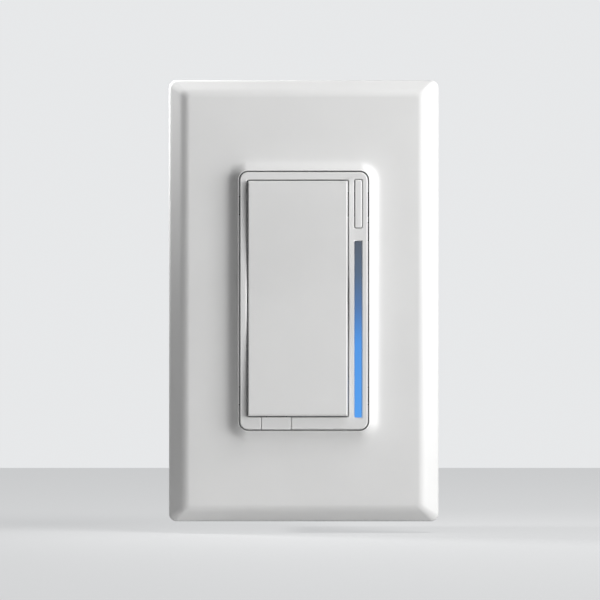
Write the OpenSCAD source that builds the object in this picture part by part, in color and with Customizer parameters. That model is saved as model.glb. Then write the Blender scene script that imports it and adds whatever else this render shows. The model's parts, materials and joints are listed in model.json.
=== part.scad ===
// A smart dimmer switch for one wall box: a rocker paddle, a small button and a
// column of light in a bezel, behind a screwless cover. X runs to the right, Z up,
// and the front faces -Y. The wall is the plane y = 0, and the origin lies on it,
// midway between the two screws that hold the switch to its box.

/* [Cover] */
// Width of the clip-on cover
cover_w = 69.85; // [68:0.05:78]
// Height of the clip-on cover
cover_h = 114.3; // [112:0.1:122]
// Depth of the cover, from the wall to its flat face
cover_d = 5.6; // [5.4:0.1:6.4]
// Wall of the cover
cover_wall = 1.6; // [1.2:0.1:1.8]
// Height of the straight edge that meets the wall
cover_edge = 2.4; // [2.2:0.1:2.6]
// Width of the bevel down each side
bevel_side = 4.7; // [4:0.1:6]
// Width of the bevel at the top and at the bottom
bevel_end = 3.9; // [3.4:0.1:5]
// Radius of the cover's corners
cover_r = 2; // [1:0.1:4]
// Radius where the bevel meets the straight edge
shoulder_r = 0.8; // [0.3:0.1:1.2]
// Height of the raised lip round the opening
lip_h = 2.4; // [1.8:0.1:2.6]
// Width over which the lip runs out into the face
lip_w = 9; // [6:0.1:10]
// Width of the lip's steep part, next to the opening
lip_knee = 2; // [1.4:0.1:3]
// Height of the gentle sweep outside the steep part
lip_tail = 0.45; // [0.2:0.05:0.8]
// Width of each snap hook
hook_w = 6; // [4:0.1:8]
// Thickness of each snap hook
hook_t = 1.4; // [1:0.1:1.8]
// Reach of a hook's nose behind the base plate
hook_nose = 0.6; // [0.4:0.05:0.9]

/* [Base plate] */
// Thickness of the base plate
base_t = 1.6; // [1.4:0.1:1.8]
// Wall of the rim that runs round the base plate
base_wall = 1.2; // [1:0.1:1.5]
// Gap between the base plate and the cover over it
base_gap = 0.25; // [0.15:0.05:0.4]
// Room between the bezel and the window in the base plate
base_room = 1.5; // [1:0.1:2]

/* [Yoke] */
// Thickness of the aluminium yoke
yoke_t = 1.6; // [1.4:0.1:1.8]
// Room between the yoke's narrow ends and the cover's hooks
yoke_room = 4.5; // [3:0.1:6]
// Distance of the yoke's ends from the ends of the cover
yoke_inset = 4.45; // [4:0.05:6]
// Distance of the break-off fins from the sides of the cover
fin_inset = 5.4; // [5.2:0.1:7]
// Room between the fins and the cover's hooks
fin_room = 6.1; // [2:0.1:10]
// Distance of each box screw from the end of the cover
box_inset = 15.48; // [15:0.01:16]
// Distance of each screw of the base plate from the end of the cover
plate_inset = 8.73; // [8.4:0.01:9]

/* [Bezel] */
// Width of the bezel
bezel_w = 33; // [32:0.1:35]
// Distance from each end of the bezel to the box screw beyond it
bezel_room = 8.47; // [8:0.01:9]
// Radius of the bezel's corners
bezel_r = 2.1; // [1.6:0.1:2.6]
// Thickness of the bezel's face
bezel_face = 1.6; // [1.2:0.1:1.8]
// Thickness of the bezel's outer wall
bezel_wall = 1.5; // [1.2:0.1:1.6]
// How far the bezel stands out of the cover's lip
bezel_proud = 0.3; // [0:0.1:0.6]
// Gap between the bezel and the cover
bezel_gap = 0.3; // [0.2:0.05:0.5]
// Strip of bezel left of the paddle
margin_left = 1.8; // [1.8:0.1:2.4]
// Strip of bezel right of the paddle, which holds the button and the light
margin_right = 4.9; // [4.8:0.1:5.6]
// Strip of bezel above the paddle
margin_top = 2; // [1.8:0.1:3]
// Strip of bezel below the paddle
margin_bottom = 3.2; // [3:0.1:4]
// Thickness of the rail between the paddle and the light
rail_t = 1.3; // [1.1:0.1:1.4]
// Width of each leg that snaps through the yoke
leg_w = 4.4; // [3.6:0.1:4.8]
// Reach of a leg's hook behind the yoke
leg_nose = 0.7; // [0.4:0.1:0.9]

/* [Paddle] */
// Gap round the paddle
paddle_gap = 0.3; // [0.25:0.05:0.4]
// How far the paddle's ends stand out of the bezel
paddle_proud = 1.3; // [0.8:0.1:1.6]
// Depth of the valley between the paddle's two halves
paddle_dip = 1.4; // [0.8:0.1:1.8]
// Wall of the paddle
paddle_wall = 1.4; // [1.2:0.1:1.6]
// Depth of the paddle's skirt behind the face of the bezel
paddle_skirt = 2.9; // [2.6:0.1:3.2]
// Radius of the pivot pins
pivot_r = 1.2; // [1:0.05:1.3]
// Running clearance round each pivot pin
pivot_fit = 0.05; // [0.02:0.01:0.08]
// Distance from the pivot to each switch behind the paddle
switch_arm = 9; // [8.5:0.1:10]

/* [Button, light and tab] */
// Width of the small button
button_w = 1.85; // [1.6:0.05:1.9]
// Height of the small button
button_h = 12.4; // [10:0.1:13]
// Gap round the small button
button_gap = 0.12; // [0.08:0.01:0.15]
// How far the button and the light stand out of the bezel
button_proud = 0.15; // [0.05:0.05:0.3]
// Width of the light bar
bar_w = 1.63; // [1.4:0.01:1.7]
// Gap between the small button and the light bar
bar_space = 3.5; // [2.5:0.1:6]
// Gap round the light bar
bar_gap = 0.05; // [0.03:0.01:0.1]
// Width of the air-gap tab
tab_w = 7.6; // [6:0.1:9]
// Place of the tab's centre, from the left edge of the bezel
tab_in = 9.4; // [8.4:0.1:10.4]
// Gap round the air-gap tab
tab_gap = 0.1; // [0.08:0.01:0.15]
// Distance that the tab pulls out
tab_travel = 3; // [2:0.1:3]

/* [Switches and boards] */
// Thickness of both circuit boards
board_t = 1.6; // [1.2:0.1:1.8]
// Side of a push switch's body
tact_w = 6; // [5.6:0.1:6.2]
// Height of a push switch's body
tact_h = 3.5; // [3.4:0.1:3.7]
// Height of a push switch's plunger
plunger_h = 1; // [0.8:0.1:1.2]
// Radius of a push switch's plunger
plunger_r = 1.2; // [1:0.05:1.3]
// Wall of the soft cap over a plunger
cap_t = 1.1; // [0.9:0.1:1.2]
// Number of lamps behind the light bar
led_count = 7; // [5:1:8]

/* [Housing] */
// How far the housing is wider than the bezel, on each side
housing_side = 5; // [4.6:0.1:5.5]
// How far the housing is shorter than the bezel, at each end
housing_end = 0.2; // [0:0.1:0.4]
// Depth of the rear housing
housing_d = 32; // [31:0.5:36]
// Wall of the rear housing
housing_wall = 1.8; // [1.6:0.1:2]
// Thickness of the lid between the yoke and the rear housing
lid_t = 2; // [1.8:0.1:2.4]
// Depth of each terminal well from the side
well_d = 6.5; // [6.4:0.1:7]
// Height of each terminal well
well_h = 11; // [10.4:0.1:11.4]
// Distance of each terminal from the middle
well_z = 12; // [11.6:0.1:12.4]

/* [Screws] */
// Radius of the threads of the box and plate screws
thread_r = 1.75; // [1.7:0.01:1.8]
// Radius of the neck of a box screw
neck_r = 1.5; // [1.4:0.01:1.55]
// Radius of the head of a box screw
head_r = 3.6; // [3.3:0.1:3.8]
// Length of a box screw behind the wall plane
box_screw_l = 22; // [18:0.5:26]
// Radius of the long screws that hold the housing
long_r = 1.25; // [1.2:0.05:1.3]

/* [Hidden] */
$fn = 48;

// A place or a size on the boards, as a share of the room between the wells
function wide(share) = share * power_w;

// A place or a size on the boards, as a share of the housing's height
function tall(share) = share * cavity_h;

// Height at which the lip ends on the flat face
lip_end = 0.05;
// Softness of the bend at the foot of the lip's steep part
lip_soft = 0.5;
// Clearance of a part that lies in a cut-out
fit = 0.2;
// Extra length of a cut, so that it leaves no skin
over = 1;
// Clearance of a screw in a clear hole
screw_fit = 0.15;
// Clearance of a thread in its tapped hole
tap_fit = 0.05;

// Depth levels, from the front to the back
face_y = -cover_d;
lip_y = face_y - lip_h;
bezel_y = lip_y - bezel_proud;
paddle_y = bezel_y - paddle_proud;
button_y = bezel_y - button_proud;
bezel_in = bezel_y + bezel_face;
base_y = -yoke_t - base_t;
hinge_y = bezel_y + 3.7;
skirt_y = bezel_y + paddle_skirt;
board_y = lid_t + 1;
board_back = board_y + board_t;
power_y = board_back + 14.4;
power_back = power_y + board_t;
housing_back = lid_t + housing_d;
floor_y = housing_back - 2;
cap_y = board_y - tact_h - plunger_h - cap_t;

// Sizes that follow the cover and the bezel
hook_x = cover_w / 2 - 10;
hook_z = cover_h / 2 - 17;
yoke_end_w = 2 * (hook_x - hook_t - yoke_room);
yoke_h = cover_h - 2 * yoke_inset;
fin_w = cover_w - 2 * fin_inset;
fin_h = 2 * (hook_z - hook_w / 2 - fin_room);
box_span = cover_h - 2 * box_inset;
plate_span = cover_h - 2 * plate_inset;
bezel_h = box_span - 2 * bezel_room;
housing_w = bezel_w + 2 * housing_side;
housing_h = bezel_h - 2 * housing_end;

// The opening, the window for the paddle and what lines up with them
open_w = bezel_w + 2 * bezel_gap;
open_h = bezel_h + 2 * bezel_gap;
open_r = bezel_r + bezel_gap;
window_x0 = -bezel_w / 2 + margin_left;
window_x1 = bezel_w / 2 - margin_right;
window_z0 = -bezel_h / 2 + margin_bottom;
window_z1 = bezel_h / 2 - margin_top;
paddle_x = (window_x0 + window_x1) / 2;
paddle_z = (window_z0 + window_z1) / 2;
paddle_w = window_x1 - window_x0 - 2 * paddle_gap;
paddle_h = window_z1 - window_z0 - 2 * paddle_gap;
column_x = bezel_w / 2 - margin_right / 2;
button_z = window_z1 - button_h / 2;
bar_h = window_z1 - button_h - bar_space - window_z0;
bar_z = window_z0 + bar_h / 2;
tab_x = -bezel_w / 2 + tab_in;
pin_reach = 1.1;

// Stem of the air-gap tab
stem_w = 5;
stem_z1 = window_z0 - 0.1;
stem_z0 = stem_z1 - 0.85;
foot_t = 1.5;
foot_y = lid_t + tab_travel + 0.1;
leaf_y = foot_y + foot_t + 0.05;
leaf_t = 0.4;

// Housing screws, terminals and board outline
post_r = 2.5;
post_x = housing_w / 2 - 2.6;
post_z = housing_h / 2 - 2.7;
cavity_w = housing_w - 2 * housing_wall;
cavity_h = housing_h - 2 * housing_wall;
well_wall = 1.3;
well_in = housing_w / 2 - well_d;
well_y0 = power_y - 7;
well_y1 = power_y + 5;
well_mid = (well_y0 + well_y1) / 2;
power_w = 2 * (well_in - well_wall - 0.3);
bracket_t = 1;
clamp_x = well_in + bracket_t + 1.2;

// Power transistors on the back of the yoke, beside the control board
fet_w = 10;
fet_x = -cavity_w / 2 + fet_w / 2 + fit;
fet_z = 2.2;
fet_body = 9;
fet_tab = 6;
fet_t = 4.5;
fet_tab_t = 1.3;
pad_t = 0.3;
fet_top = fet_z + fet_body + fet_tab;
fet_hole_z = fet_top - fet_tab / 2;
fet_screw_r = 1.4;
lead_pitch = 2.5;
lead_w = 0.7;
board_x0 = fet_x + fet_w / 2 + 0.8;

// Legs of the bezel: side and height of each, clear of the transistors and of the small switch
leg_t = 1.2;
leg_depth = 1.2;
leg_z = (fet_top + bezel_h / 2 - bezel_r / 2) / 2;
leg_places = [[-1, leg_z], [-1, -leg_z], [1, button_z - 7], [1, -leg_z]];

// Ground tab, bent back out of the yoke's lower end
ground_w = 8;
ground_x = -yoke_end_w / 2 + 7;
ground_y = 5;
ground_z = -housing_h / 2 - 2.8;

// Colours
c_plastic = [0.93, 0.93, 0.92];
c_base = [0.85, 0.85, 0.83];
c_light = [0.35, 0.62, 0.95];
c_metal = [0.78, 0.79, 0.8];
c_steel = [0.7, 0.71, 0.73];
c_brass = [0.8, 0.65, 0.35];
c_copper = [0.75, 0.45, 0.25];
c_green = [0.15, 0.5, 0.25];
c_board = [0.1, 0.35, 0.22];
c_dark = [0.16, 0.16, 0.18];
c_rubber = [0.3, 0.3, 0.32];

// A shape drawn in X and Z, made solid from y0 to y1
module along_y(y0, y1) {
    translate([0, y1, 0])
        rotate([90, 0, 0])
            linear_extrude(y1 - y0)
                children();
}

// A shape drawn in Y and Z, made solid from x0 to x1
module along_x(x0, x1) {
    translate([x0, 0, 0])
        rotate([90, 0, 90])
            linear_extrude(x1 - x0)
                children();
}

// A shape drawn in X and Y, made solid from z0 to z1
module along_z(z0, z1) {
    translate([0, 0, z0])
        linear_extrude(z1 - z0)
            children();
}

// A box between two corners
module slab(x0, x1, y0, y1, z0, z1) {
    translate([x0, y0, z0])
        cube([x1 - x0, y1 - y0, z1 - z0]);
}

// A round bar along Y, with a radius for each end
module peg_y(x, z, y0, y1, r0, r1) {
    translate([x, y0, z])
        rotate([-90, 0, 0])
            cylinder(h = y1 - y0, r1 = r0, r2 = r1);
}

// A round bar along X
module peg_x(y, z, x0, x1, r) {
    translate([x0, y, z])
        rotate([0, 90, 0])
            cylinder(h = x1 - x0, r = r);
}

// A flat rectangle with round corners
module rounded(w, h, r) {
    square([w - 2 * r, h], center = true);
    square([w, h - 2 * r], center = true);
    for (x = [-1, 1], z = [-1, 1])
        translate([x * (w / 2 - r), z * (h / 2 - r)])
            circle(r);
}

// The same rectangle between two corners
module rounded_between(x0, x1, z0, z1, r) {
    translate([(x0 + x1) / 2, (z0 + z1) / 2])
        rounded(x1 - x0, z1 - z0, r);
}

// A profile drawn as distance outwards and height to the front, swept round a rounded opening
module swept_frame(w, h, r) {
    for (quarter = [0:3]) {
        across = (quarter % 2 == 0 ? w : h) / 2;
        along = (quarter % 2 == 0 ? h : w) / 2 - r;
        rotate([0, -90 * quarter, 0]) {
            translate([0, 0, -along])
                linear_extrude(2 * along)
                    translate([across, 0])
                        mirror([0, 1, 0])
                            children();
            translate([across - r, 0, along])
                rotate([90, 0, 0])
                    rotate_extrude(angle = 90)
                        translate([r, 0])
                            children();
        }
    }
}

// Slope of a bevel of the cover, from the width of the bevel
function bevel_angle(run) = atan((cover_d - cover_edge) / run);

// Height of the straight edge, a distance t inside the cover
function inner_edge(run, t) =
    cover_edge - t * (1 - sin(bevel_angle(run))) / cos(bevel_angle(run));

// Width of the bevel, a distance t inside the cover
function inner_run(run, t) =
    run + t * (1 / cos(bevel_angle(run)) - 1) / tan(bevel_angle(run)) - t;

// Round shoulder between the straight edge and the bevel
function shoulder(half, edge, angle, r) =
    r > 0
        ? [for (i = [0:4]) let (a = (90 - angle) * i / 4)
            [half - r + r * cos(a), -edge + r * tan((90 - angle) / 2) - r * sin(a)]]
        : [[half, -edge]];

// Half of the cover's section, from the back edge to the flat face
function half_section(half, run, t, back) = concat(
    [[half, back]],
    shoulder(half, inner_edge(run, t), bevel_angle(run), max(shoulder_r - t, 0)),
    [[half - inner_run(run, t), -cover_d + t]]
);

// The whole section, across the plate
function full_section(half, run, t, back) = let (side = half_section(half, run, t, back)) concat(
    side,
    [for (i = [len(side) - 1:-1:0]) [-side[i][0], side[i][1]]]
);

// The bevelled body of the cover, a distance t inside its outer face
module bevelled_body(t, back) {
    half_w = cover_w / 2 - t;
    half_h = cover_h / 2 - t;
    intersection() {
        along_z(-half_h, half_h)
            polygon(full_section(half_w, bevel_side, t, back));
        along_x(-half_w, half_w)
            polygon([for (p = full_section(half_h, bevel_end, t, back)) [p[1], p[0]]]);
        along_y(-cover_d - over, back)
            rounded(2 * half_w, 2 * half_h, max(cover_r - t, 0.5));
    }
}

// Height of the lip over the flat face, at a distance from the opening
function lip_rise(out) =
    lip_end + lip_tail * pow(1 - out / lip_w, 2)
        + (lip_h - lip_end - lip_tail) * lip_bend(out) / lip_bend(0);

// A line that falls to zero at the foot of the lip's steep part, with a soft bend there
function lip_bend(out) = lip_soft * ln(1 + exp((lip_knee - out) / lip_soft));

// Section of the lip and of the skirt behind it
function lip_section() = let (steps = 14, edge_r = 0.2, skirt_t = 1.2) concat(
    [[0, -base_y + 0.1], [0, cover_d + lip_h - edge_r]],
    [[edge_r * (1 - cos(45)), cover_d + lip_h - edge_r * (1 - sin(45))]],
    [for (i = [0:steps]) let (out = edge_r + (lip_w - edge_r) * i / steps)
        [out, cover_d + lip_rise(out)]],
    [[lip_w, cover_d - cover_wall], [skirt_t, cover_d - cover_wall]],
    [[skirt_t, -base_y + 0.1]]
);

module wall_plate_cover() {
    lip_in = lip_w - fit;
    notch_w = 8;
    notch_t = 0.8;
    color(c_plastic) {
        difference() {
            union() {
                difference() {
                    bevelled_body(0, 0);
                    bevelled_body(cover_wall, over);
                    // The lip fills this hole, and leaves the opening in its middle
                    along_y(lip_y - over, over)
                        rounded(open_w + 2 * lip_in, open_h + 2 * lip_in, open_r + lip_in);
                }
                swept_frame(open_w, open_h, open_r)
                    polygon(lip_section());
            }
            slab(-notch_w / 2, notch_w / 2, -1.2, over, -cover_h / 2 - over, -cover_h / 2 + notch_t);
        }
        for (x = [-1, 1], z = [-1, 1])
            translate([0, 0, z * hook_z])
                along_z(-hook_w / 2, hook_w / 2)
                    scale([x, 1])
                        polygon([
                            [hook_x - hook_t, -cover_d + cover_wall / 2],
                            [hook_x, -cover_d + cover_wall / 2],
                            [hook_x, -yoke_t + 0.1],
                            [hook_x + hook_nose, -yoke_t + 0.1],
                            [hook_x, -yoke_t + 1],
                            [hook_x - hook_t, -yoke_t + 1]
                        ]);
    }
}

module wall_plate_base() {
    t = cover_wall + base_gap;
    window_w = bezel_w + 2 * base_room;
    window_h = bezel_h + 2 * base_room;
    color(c_base)
        difference() {
            intersection() {
                bevelled_body(t, 0);
                slab(-cover_w, cover_w, base_y, 0, -cover_h, cover_h);
            }
            intersection() {
                bevelled_body(t + base_wall, over);
                slab(-cover_w, cover_w, -yoke_t, over, -cover_h, cover_h);
            }
            along_y(base_y - over, over)
                rounded(window_w, window_h, bezel_r);
            for (z = [-1, 1]) {
                along_y(base_y - over, over)
                    rounded_between(-head_r - 1, head_r + 1, z > 0 ? 0 : -box_span / 2 - head_r - 1,
                        z > 0 ? box_span / 2 + head_r + 1 : 0, 2);
                peg_y(0, z * plate_span / 2, base_y - over, over, thread_r + screw_fit,
                    thread_r + screw_fit);
                plate_screw_head(z, fit / 2);
                peg_y(0, z * plate_span / 2, base_y - over, base_y, 3.3 + fit / 2, 3.3 + fit / 2);
            }
            for (x = [-1, 1], z = [-1, 1])
                translate([x * (hook_x + hook_nose / 2 - hook_t / 2), 0, z * hook_z])
                    slab(-hook_t / 2 - hook_nose / 2 - fit, hook_t / 2 + hook_nose / 2 + fit,
                        base_y - over, over, -hook_w / 2 - fit, hook_w / 2 + fit);
        }
}

// The sunk head of a base plate screw, made larger by a clearance
module plate_screw_head(side, room) {
    peg_y(0, side * plate_span / 2, base_y, base_y + base_t - 0.2, 3.3 + room, thread_r + room);
}

module plate_screws() {
    color(c_steel)
        for (z = [-1, 1])
            difference() {
                union() {
                    plate_screw_head(z, 0);
                    peg_y(0, z * plate_span / 2, base_y, 4, thread_r, thread_r);
                }
                slab(-4, 4, base_y - over, base_y + 0.7, z * plate_span / 2 - 0.4,
                    z * plate_span / 2 + 0.4);
            }
}

// Outline of the light bar, wider by a gap
module bar_outline(gap) {
    translate([column_x, bar_z])
        square([bar_w + 2 * gap, bar_h + 2 * gap], center = true);
}

// Outline of the small button, wider by a gap
module button_outline(gap) {
    translate([column_x, button_z])
        rounded(button_w + 2 * gap, button_h + 2 * gap, 0.4);
}

module bezel() {
    rail_x = window_x1 + rail_t;
    inner_x = bezel_w / 2 - bezel_wall;
    ear = 3;
    color(c_plastic) {
        difference() {
            along_y(bezel_y, -yoke_t)
                rounded(bezel_w, bezel_h, bezel_r);
            // Hollow behind the face, apart from the rail and the ear on the left
            difference() {
                along_y(bezel_in, over)
                    rounded(bezel_w - 2 * bezel_wall, bezel_h - 2 * bezel_wall, 0.6);
                slab(window_x1, rail_x, bezel_y, -yoke_t, -bezel_h, bezel_h);
                slab(-bezel_w, window_x0, bezel_y, hinge_y + ear, paddle_z - ear, paddle_z + ear);
            }
            // Window for the paddle
            along_y(bezel_y - over, over)
                translate([paddle_x, paddle_z])
                    rounded(window_x1 - window_x0, window_z1 - window_z0, 0.6);
            along_y(bezel_y - over, bezel_in + over)
                bar_outline(bar_gap);
            along_y(bezel_y - over, bezel_in + over)
                button_outline(button_gap);
            // Bearings of the pivot pins
            peg_x(hinge_y, paddle_z, window_x0 - pin_reach - fit, window_x0 + over, pivot_r + pivot_fit);
            peg_x(hinge_y, paddle_z, window_x1 - over, rail_x + over / 4, pivot_r + pivot_fit);
            // Notch for the air-gap tab, and the way for its stem
            slab(tab_x - tab_w / 2 - tab_gap, tab_x + tab_w / 2 + tab_gap, bezel_y - over,
                bezel_in + over, -bezel_h / 2 - over, window_z0 + over);
            // Room for the cap of the small switch
            slab(column_x - plunger_r - cap_t - 0.6, bezel_w / 2 + over, cap_y - 0.8, over,
                button_z - plunger_r - cap_t - 0.6, button_z + plunger_r + cap_t + 0.6);
            slab(window_x0 - over, window_x1 + rail_t + over, -yoke_t - 1.2, over, -bezel_h / 2 + 6,
                -bezel_h / 2 + 14);
        }
        for (place = leg_places)
            bezel_leg(place[0], place[1]);
    }
}

// One leg, with its hook behind the yoke
module bezel_leg(side, z) {
    out = bezel_w / 2;
    translate([0, 0, z])
        along_z(-leg_w / 2, leg_w / 2)
            scale([side, 1])
                polygon([
                    [out - leg_t, -yoke_t - 2],
                    [out, -yoke_t - 2],
                    [out, tap_fit],
                    [out + leg_nose, tap_fit],
                    [out, leg_depth],
                    [out - leg_t, leg_depth]
                ]);
}

// Front line of the paddle: a valley in the middle that rises to both ends
function paddle_front(z) =
    paddle_y + paddle_dip * pow(1 - abs(z) / (paddle_h / 2), 1.5);

module paddle() {
    half_h = paddle_h / 2;
    end_r = 0.3;
    steps = 10;
    front = [for (i = [-steps:steps]) let (z = (half_h - end_r) * i / steps) [paddle_front(z), z]];
    back = [for (i = [-steps:steps]) let (z = (half_h - paddle_wall) * i / steps)
        [paddle_front(z) + paddle_wall, z]];
    ends = [[skirt_y, half_h], [skirt_y, -half_h], [paddle_front(-half_h) + end_r, -half_h]];
    top = [[paddle_front(half_h) + end_r, half_h]];
    hollow_w = paddle_w / 2 - paddle_wall;
    rib_t = 1;
    color(c_plastic) {
        translate([paddle_x, 0, paddle_z]) {
            difference() {
                along_x(-paddle_w / 2, paddle_w / 2)
                    polygon(concat(ends, front, top));
                difference() {
                    along_x(-hollow_w, hollow_w)
                        polygon(concat(back, [[skirt_y + over, half_h - paddle_wall],
                            [skirt_y + over, -half_h + paddle_wall]]));
                    // Ribs across and along the back
                    for (i = [-3:3])
                        slab(-paddle_w, paddle_w, -20, skirt_y - (i == 0 ? 0 : 0.8),
                            i * paddle_h / 8 - rib_t / 2, i * paddle_h / 8 + rib_t / 2);
                    for (x = [-1, 1])
                        slab(x * spring_in - rib_t, x * spring_in + rib_t, -20, skirt_y, -half_h, half_h);
                }
            }
            // Posts that press the two switches
            for (z = [-1, 1])
                peg_y(0, z * switch_arm, paddle_front(switch_arm) + paddle_wall / 2, cap_y - 0.1, 1.6, 1.3);
            // Pivot pins
            peg_x(hinge_y, 0, -paddle_w / 2 - paddle_gap - pin_reach, -paddle_w / 2 + over, pivot_r);
            peg_x(hinge_y, 0, paddle_w / 2 - over, paddle_w / 2 + paddle_gap + pin_reach, pivot_r);
            // Bosses behind the pins
            for (x = [-1, 1])
                intersection() {
                    peg_x(hinge_y, 0, x > 0 ? hollow_w - over : -paddle_w / 2,
                        x > 0 ? paddle_w / 2 : -hollow_w + over, pivot_r + 1.2);
                    slab(-paddle_w, paddle_w, -20, skirt_y + 1.6, -half_h, half_h);
                }
        }
    }
}

// Distance from the paddle's middle to each spring rib
spring_in = 0.311 * paddle_w;

module config_button() {
    flange = 0.4;
    color(c_plastic) {
        along_y(button_y, bezel_in + 0.6)
            button_outline(0);
        // Flange that keeps the button behind the face
        along_y(bezel_in + 0.1, bezel_in + 1.1)
            translate([column_x, button_z])
                rounded(button_w, button_h + 2 * flange, button_w / 2 - 0.05);
        peg_y(column_x, button_z, bezel_in + 0.5, cap_y - 0.1, 0.9, 0.9);
    }
}

module light_bar() {
    catch_h = 0.8;
    color(c_light) {
        along_y(button_y, -yoke_t - 0.1)
            bar_outline(0);
        // Catches behind the face, above and below
        along_y(bezel_in + 0.1, bezel_in + 1.3)
            translate([column_x, bar_z])
                square([bar_w, bar_h + 2 * catch_h], center = true);
    }
}

module air_gap_tab() {
    z0 = -bezel_h / 2;
    color(c_plastic)
        difference() {
            union() {
                slab(tab_x - tab_w / 2, tab_x + tab_w / 2, bezel_y, bezel_in + 0.9, z0, window_z0);
                slab(tab_x - stem_w / 2, tab_x + stem_w / 2, bezel_in, foot_y + foot_t, stem_z0, stem_z1);
                slab(tab_x - stem_w / 2, tab_x + stem_w / 2, foot_y, foot_y + foot_t, stem_z0, stem_z1 + 1.2);
            }
            // Groove below, for a fingernail
            slab(tab_x - tab_w / 2 + 1, tab_x + tab_w / 2 - 1, bezel_y + 0.8, bezel_y + 1.4, z0 - over,
                z0 + 0.5);
        }
}

// One arm of the leaf spring, as a strip that rises from the yoke to the paddle
function spring_line(side, lift) = [for (i = [0:8]) let (s = i / 8)
    [-yoke_t - 0.02 - lift - (-yoke_t - 0.02 - 0.3 - skirt_y - 0.05) * (3 * s * s - 2 * s * s * s),
        side * (3 + 13 * s)]];

module paddle_spring() {
    spring_w = 2;
    back_points = concat(
        [for (i = [8:-1:0]) spring_line(-1, 0)[i]],
        spring_line(1, 0)
    );
    front_points = concat(
        [for (i = [8:-1:0]) spring_line(1, 0.3)[i]],
        spring_line(-1, 0.3)
    );
    color(c_steel)
        translate([paddle_x, 0, paddle_z]) {
            for (x = [-1, 1])
                along_x(x * spring_in - spring_w / 2, x * spring_in + spring_w / 2)
                    polygon(concat(back_points, front_points));
            slab(-spring_in, spring_in, -yoke_t - 0.32, -yoke_t - 0.02, -1.5, 1.5);
        }
}

// Cut-outs that the yoke and the lid share, made larger by a margin
module shared_cutouts(room) {
    for (z = [-1, 1])
        translate([paddle_x, paddle_z + z * switch_arm])
            square(tact_w + 2 * fit + 2 * room, center = true);
    translate([column_x, button_z])
        square(tact_w + 2 * fit + 2 * room, center = true);
    translate([column_x, bar_z])
        square([baffle_w + 2 * fit / 2 + 2 * room, bar_h + fit + 2 * room], center = true);
    for (place = leg_places)
        translate([place[0] * (bezel_w / 2 - leg_t / 2 + leg_nose / 2), place[1]])
            square([leg_t + leg_nose + fit + 2 * room, leg_w + 2 * fit + 2 * room], center = true);
    translate([tab_x, (stem_z0 + stem_z1) / 2])
        square([stem_w + 2 * fit + room, stem_z1 - stem_z0 + 0.3], center = true);
}

// Width of the baffle round the lamps
baffle_w = bar_w + 0.7;

module yoke() {
    slot_r = 2.1;
    groove_x = housing_w / 2 + 1;
    color(c_metal)
        difference() {
            union() {
                along_y(-yoke_t, 0) {
                    rounded(yoke_end_w, yoke_h, 3);
                    rounded(housing_w + 0.6, housing_h + 4, 2);
                    rounded(fin_w, fin_h, 2);
                }
                // Ground tab, bent back out of the lower end
                slab(ground_x - ground_w / 2, ground_x + ground_w / 2, -yoke_t, 2 * ground_y,
                    ground_z - yoke_t, ground_z);
            }
            along_y(-yoke_t - over, over) {
                shared_cutouts(0);
                for (z = [-1, 1])
                    translate([0, z * box_span / 2])
                        rounded(2 * slot_r + 3, 2 * slot_r, slot_r - 0.01);
                // Slots beside the plaster ears
                for (x = [-1, 1], z = [-1, 1])
                    translate([x * 11, z * (yoke_h / 2 - 4.5)])
                        rounded(1.6, 5.4, 0.7);
                // Break-off slots of the fins
                for (x = [-1, 1], z = [-1, 0, 1])
                    translate([x * groove_x, z * fin_h / 3])
                        rounded(1.4, fin_h / 3 - 5, 0.6);
                // Window that the ground tab was bent out of
                rounded_between(ground_x - ground_w / 2, ground_x + ground_w / 2, ground_z - yoke_t - 9,
                    ground_z - yoke_t, 0.5);
            }
            for (z = [-1, 1])
                peg_y(0, z * plate_span / 2, -yoke_t - over, over, thread_r + tap_fit, thread_r + tap_fit);
            for (x = [-1, 1], z = [-1, 1])
                peg_y(x * post_x, z * post_z, -yoke_t - over, over, long_r + tap_fit, long_r + tap_fit);
            for (z = [-1, 1])
                peg_y(fet_x, z * fet_hole_z, -yoke_t - over, over, fet_screw_r + tap_fit,
                    fet_screw_r + tap_fit);
            // Scored lines that join the slots
            for (x = [-1, 1])
                slab(x * groove_x - 0.4, x * groove_x + 0.4, -yoke_t - over, -yoke_t + 0.7, -fin_h, fin_h);
            translate([ground_x, ground_y, ground_z - yoke_t - over])
                cylinder(h = yoke_t + 2 * over, r = thread_r + tap_fit);
        }
}

module box_screws() {
    head_h = 1.9;
    retainer_t = 0.4;
    color(c_steel)
        for (z = [-1, 1])
            difference() {
                union() {
                    peg_y(0, z * box_span / 2, -yoke_t - head_h, -yoke_t - head_h + 0.7, head_r - 0.7,
                        head_r);
                    peg_y(0, z * box_span / 2, -yoke_t - head_h + 0.7, -yoke_t, head_r, head_r);
                    peg_y(0, z * box_span / 2, -yoke_t, retainer_t, neck_r, neck_r);
                    peg_y(0, z * box_span / 2, retainer_t, box_screw_l - 1, thread_r, thread_r);
                    peg_y(0, z * box_span / 2, box_screw_l - 1, box_screw_l, thread_r, thread_r - 0.8);
                }
                slab(-head_r, head_r, -yoke_t - head_h - over, -yoke_t - head_h + 0.9,
                    z * box_span / 2 - 0.45, z * box_span / 2 + 0.45);
            }
}

// A thin washer that keeps a box screw in the yoke
module retainer(side) {
    color(c_rubber)
        difference() {
            peg_y(0, side * box_span / 2, 0, 0.4, 4.2, 4.2);
            peg_y(0, side * box_span / 2, -over, 0.4 + over, neck_r + tap_fit, neck_r + tap_fit);
        }
}

module screw_retainer_top() {
    retainer(1);
}

module screw_retainer_bottom() {
    retainer(-1);
}

module ground_screw() {
    color(c_green)
        translate([ground_x, ground_y, ground_z - yoke_t])
            difference() {
                union() {
                    translate([0, 0, -1])
                        cylinder(h = yoke_t + 2, r = thread_r);
                    translate([0, 0, -2.2])
                        cylinder(h = 2.2, r = 3.4);
                }
                slab(-4, 4, -0.4, 0.4, -2.2 - over, -1.5);
            }
}

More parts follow.
